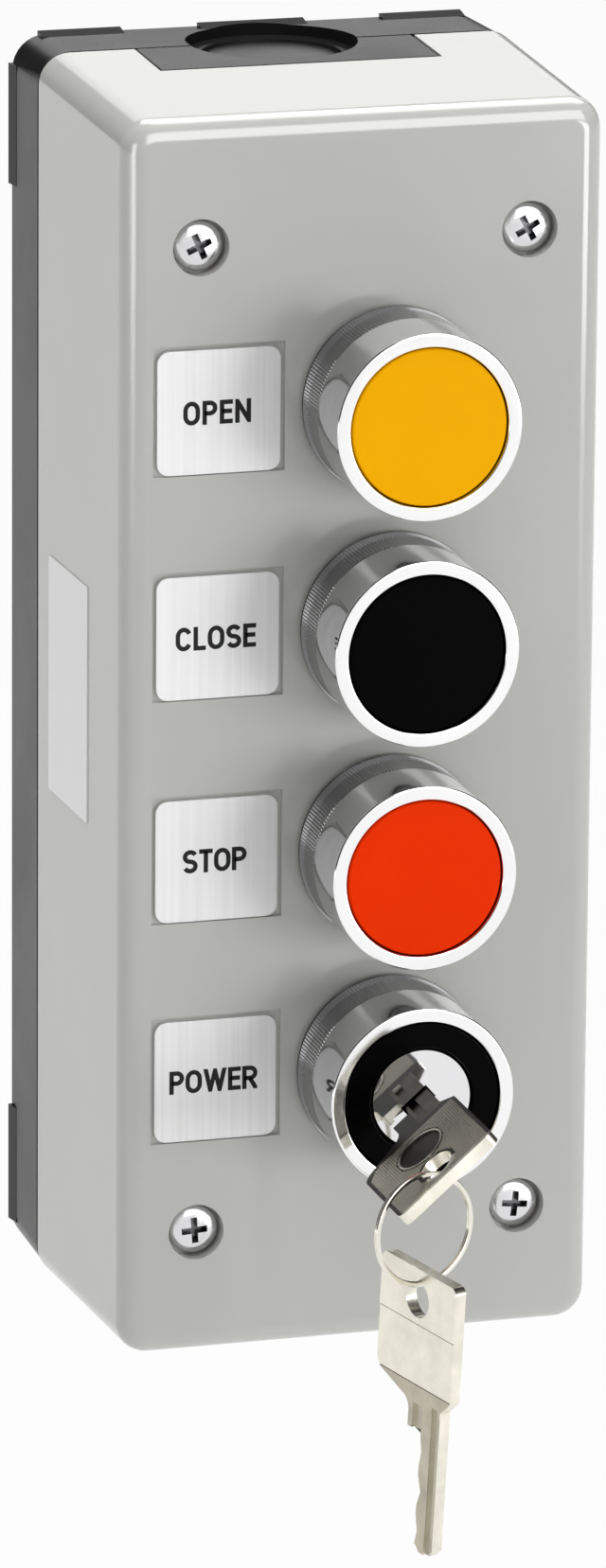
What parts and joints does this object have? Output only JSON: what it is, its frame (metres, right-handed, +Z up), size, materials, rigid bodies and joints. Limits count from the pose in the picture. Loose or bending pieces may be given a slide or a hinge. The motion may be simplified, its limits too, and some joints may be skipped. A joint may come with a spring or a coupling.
{
  "type": "key switch control station",
  "caption": "Wall-mounted control station: grey cover on a black base, flush push buttons in chromed bezels, and a key switch with its key, ring and spare key.",
  "frame": {"origin": "centre of the four wall holes, on the flat back face", "axes": "+X to the right seen from the front, +Y into the wall, +Z up"},
  "size_m": [0.0798, 0.1184, 0.2211],
  "materials": {
    "cover_grey": "satin moulded, light grey",
    "base_black": "satin moulded, near black",
    "gasket_rubber": "soft black rubber",
    "zinc_screw": "bright zinc plate",
    "brass": "turned brass",
    "label_silver": "printed silver film",
    "brushed_aluminium": "fine vertical brushing",
    "bush_black": "moulded",
    "nut_chrome": "chrome plate over a fine knurl",
    "bezel_chrome": "polished chrome plate",
    "block_grey": "moulded",
    "contact_silver": "silver plate",
    "spring_steel": "spring wire",
    "cap_yellow": "satin moulded, deep yellow",
    "cap_black": "satin moulded, black",
    "cap_red": "satin moulded, orange red",
    "nylon_white": "natural nylon",
    "dial_black": "glossy black",
    "barrel_chrome": "polished chrome plate",
    "key_nickel": "nickel plate",
    "ring_steel": "bright nickel plate"
  },
  "bodies": {
    "enclosure": {"bezel_close": "bezel_chrome", "bezel_open": "bezel_chrome", "bezel_power": "bezel_chrome", "bezel_stop": "bezel_chrome", "bush_close": "bush_black", "bush_open": "bush_black", "bush_power": "bush_black", "bush_stop": "bush_black", "contact_block_close": "block_grey", "contact_block_open": "block_grey", "contact_block_power": "block_grey", "contact_block_stop": "block_grey", "contact_spring_close": "spring_steel", "contact_spring_open": "spring_steel", "contact_spring_power": "spring_steel", "contact_spring_stop": "spring_steel", "contact_strips": "contact_silver", "cover_gasket": "gasket_rubber", "cover_screws": "zinc_screw", "front_cover": "cover_grey", "legend_close": "brushed_aluminium", "legend_open": "brushed_aluminium", "legend_power": "brushed_aluminium", "legend_stop": "brushed_aluminium", "lock_housing": "dial_black", "panel_seals": "gasket_rubber", "rear_base": "base_black", "return_spring_close": "spring_steel", "return_spring_open": "spring_steel", "return_spring_stop": "spring_steel", "ring_nut_close": "nut_chrome", "ring_nut_open": "nut_chrome", "ring_nut_power": "nut_chrome", "ring_nut_stop": "nut_chrome", "screw_inserts": "brass", "side_label": "label_silver", "terminal_screws": "brass"},
    "open_button": {"cap_open": "cap_yellow", "plunger_open": "nylon_white", "contact_carrier_open": "nylon_white", "contact_bridge_open": "contact_silver"},
    "close_button": {"cap_close": "cap_black", "plunger_close": "nylon_white", "contact_carrier_close": "nylon_white", "contact_bridge_close": "contact_silver"},
    "stop_button": {"cap_stop": "cap_red", "plunger_stop": "nylon_white", "contact_carrier_stop": "nylon_white", "contact_bridge_stop": "contact_silver"},
    "lock_barrel": {"lock_barrel": "barrel_chrome", "lock_wafers": "brass", "barrel_clip": "spring_steel", "switch_cam": "nylon_white"},
    "key": {"key": "key_nickel"},
    "key_ring": {"key_ring": "ring_steel"},
    "spare_key": {"spare_key": "key_nickel"},
    "power_contact": {"cam_follower": "nylon_white", "contact_bridge_power": "contact_silver"}
  },
  "joints": [
    {"name": "press_open", "type": "slide", "parent": "enclosure", "child": "open_button", "axis": [0, 1, 0], "range_m": [0, 0.0038], "stiffness_N_per_m": 400, "springref_m": -0.006, "deforming": ["return_spring_open", "contact_spring_open"]},
    {"name": "press_close", "type": "slide", "parent": "enclosure", "child": "close_button", "axis": [0, 1, 0], "range_m": [0, 0.0038], "stiffness_N_per_m": 400, "springref_m": -0.006, "deforming": ["return_spring_close", "contact_spring_close"]},
    {"name": "press_stop", "type": "slide", "parent": "enclosure", "child": "stop_button", "axis": [0, 1, 0], "range_m": [0, 0.0038], "stiffness_N_per_m": 400, "springref_m": -0.006, "deforming": ["return_spring_stop", "contact_spring_stop"]},
    {"name": "key_turn", "type": "hinge", "parent": "enclosure", "child": "lock_barrel", "pos_m": [0.0045, 0, -0.0542], "axis": [0, -1, 0], "range_deg": [0, 90]},
    {"name": "key_pull", "type": "slide", "parent": "lock_barrel", "child": "key", "axis": [0, -1, 0], "range_m": [0, 0.017]},
    {"name": "ring_hang", "type": "hinge", "parent": "key", "child": "key_ring", "pos_m": [-0.00063, -0.108, -0.05866], "axis": [0, -1, 0], "range_deg": [-80, 5]},
    {"name": "spare_swing", "type": "hinge", "parent": "key_ring", "child": "spare_key", "pos_m": [-0.00251, -0.10865, -0.07613], "axis": [0.9455, 0.3256, 0], "range_deg": [-45, 45]},
    {"name": "power_contact_slide", "type": "slide", "parent": "enclosure", "child": "power_contact", "axis": [0, 1, 0], "range_m": [0, 0.0038], "deforming": ["contact_spring_power"]}
  ],
  "couplings": [
    {"joint": "ring_hang", "follows": "key_turn", "ratio": -0.8556},
    {"joint": "power_contact_slide", "follows": "key_turn", "m_per_rad": 0.002419}
  ]
}
